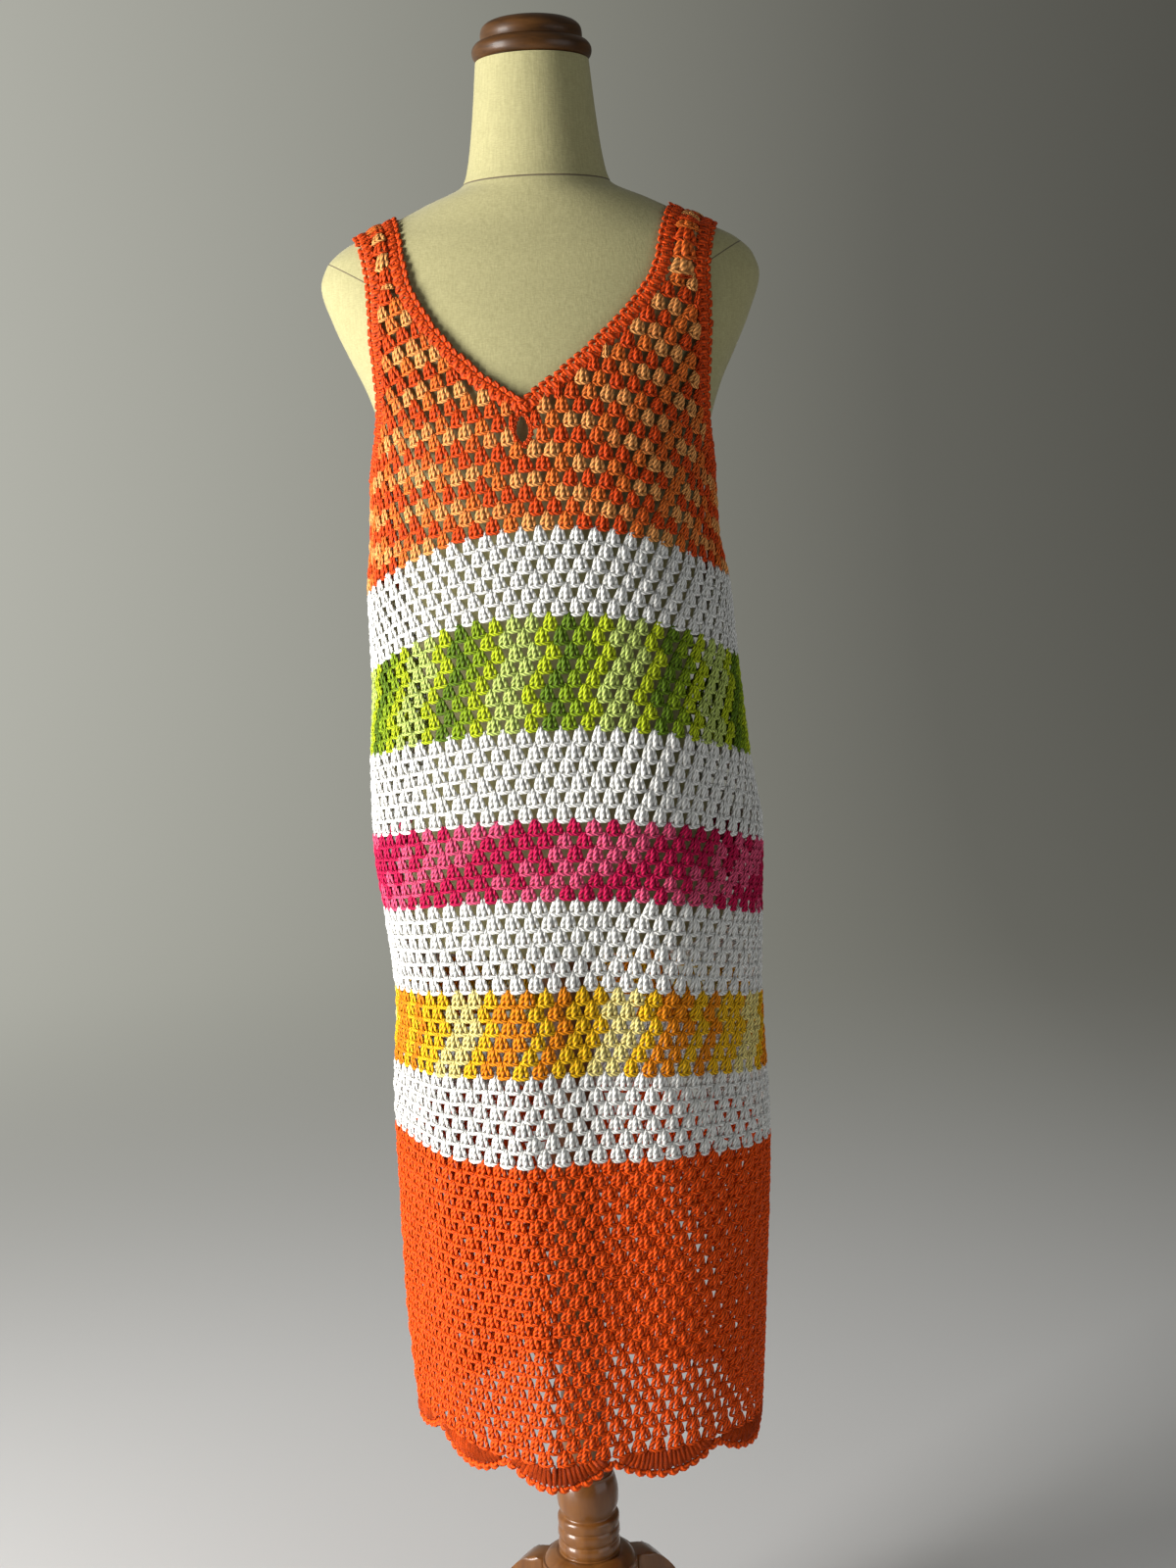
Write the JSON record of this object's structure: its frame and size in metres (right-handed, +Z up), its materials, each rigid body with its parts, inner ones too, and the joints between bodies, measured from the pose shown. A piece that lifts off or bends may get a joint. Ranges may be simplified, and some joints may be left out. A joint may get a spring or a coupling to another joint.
{
  "type": "crochet dress on a limbless dress form with a turned wooden stand",
  "caption": "Sleeveless striped crochet dress with V neck and scalloped hem, worn by a limbless dress form on a turned wooden tripod stand.",
  "frame": {"origin": "on the floor, under the middle of the whole object's footprint box", "axes": "+Z up, the front of the dress faces -Y, +X is the picture's right"},
  "size_m": [0.3976, 0.3504, 1.627],
  "materials": {
    "bodice_yarn": "crocheted cotton yarn, matte",
    "deep_orange_yarn": "crocheted cotton yarn, matte",
    "white_yarn": "crocheted cotton yarn, matte",
    "green_yarn": "crocheted cotton yarn, matte",
    "pink_yarn": "crocheted cotton yarn, matte",
    "yellow_yarn": "crocheted cotton yarn, matte",
    "orange_yarn": "crocheted cotton yarn, matte",
    "linen": "tight plain-woven cream linen cover",
    "dark_wood": "turned wood, dark glossy varnish",
    "honey_wood": "turned wood, honey brown glossy varnish"
  },
  "bodies": {
    "root": {"torso_form": "linen", "neck_cap": "dark_wood", "post": "honey_wood", "hub": "honey_wood", "leg_front": "honey_wood", "leg_left": "honey_wood", "leg_right": "honey_wood", "bodice_front": "bodice_yarn", "bodice_back": "bodice_yarn", "neck_edging": "deep_orange_yarn", "armhole_edging_left": "deep_orange_yarn", "armhole_edging_right": "deep_orange_yarn", "band_white_1": "white_yarn", "band_green": "green_yarn", "band_white_2": "white_yarn", "band_pink": "pink_yarn", "band_white_3": "white_yarn", "band_yellow": "yellow_yarn", "band_white_4": "white_yarn", "skirt_orange": "orange_yarn", "hem_edging": "orange_yarn"}
  },
  "joints": []
}
